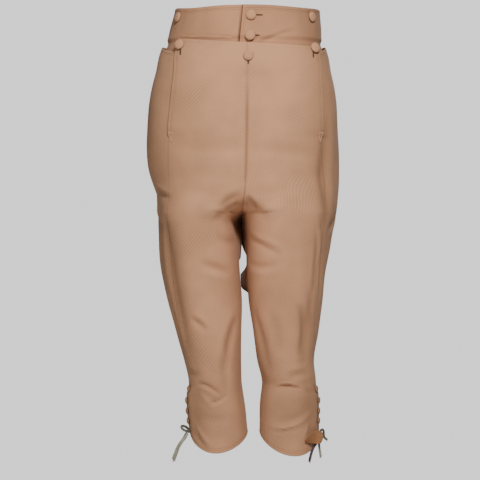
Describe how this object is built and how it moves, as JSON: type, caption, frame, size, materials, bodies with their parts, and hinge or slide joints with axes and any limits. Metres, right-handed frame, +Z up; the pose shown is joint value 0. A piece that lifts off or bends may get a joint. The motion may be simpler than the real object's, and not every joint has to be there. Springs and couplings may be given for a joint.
{
  "type": "fall-front knee breeches",
  "caption": "Worn-shape knee breeches of ribbed drill with a high buttoned waistband, a broad fall front, a full seat and ribbon ties at the buttoned knees.",
  "frame": {"origin": "middle of the waist, halfway up the waistband, where the wearer's waist holds the garment", "axes": "+Z up along the body; the wearer faces -Y, so the wearer's left is +X and the wearer's right is -X"},
  "size_m": [0.3471, 0.2678, 0.812],
  "materials": {
    "ribbed_cloth": "matt tan drill with fine slanting ribs",
    "covered_button": "matt, covered in the same cloth",
    "facing": "matt orange-brown facing cloth",
    "olive_ribbon": "dull grey-olive silk ribbon",
    "dark_ribbon": "dull dark purple-brown ribbon"
  },
  "bodies": {
    "root": {"front_right": "ribbed_cloth", "front_left": "ribbed_cloth", "back_right": "ribbed_cloth", "back_left": "ribbed_cloth", "waistband_right": "ribbed_cloth", "waistband_left": "ribbed_cloth", "slit_stay_right": "ribbed_cloth", "slit_stay_left": "ribbed_cloth", "knee_flap": "facing", "waist_button_upper": "covered_button", "waist_button_lower": "covered_button", "fall_button_middle": "covered_button", "fall_button_right": "covered_button", "fall_button_left": "covered_button", "brace_button_right": "covered_button", "brace_button_left": "covered_button", "brace_button_back_right": "covered_button", "brace_button_back_left": "covered_button", "knee_button_right_1": "covered_button", "knee_button_right_2": "covered_button", "knee_button_right_3": "covered_button", "knee_button_right_4": "covered_button", "knee_button_left_1": "covered_button", "knee_button_left_2": "covered_button", "knee_button_left_3": "covered_button", "knee_button_left_4": "covered_button", "ribbon_loop_right": "olive_ribbon", "ribbon_tail_right_front": "olive_ribbon", "ribbon_tail_right_back": "olive_ribbon", "ribbon_loop_left": "olive_ribbon", "ribbon_tail_left_back": "olive_ribbon", "knot_right": "olive_ribbon", "knot_left": "olive_ribbon", "ribbon_tail_left_front": "dark_ribbon"}
  },
  "joints": []
}
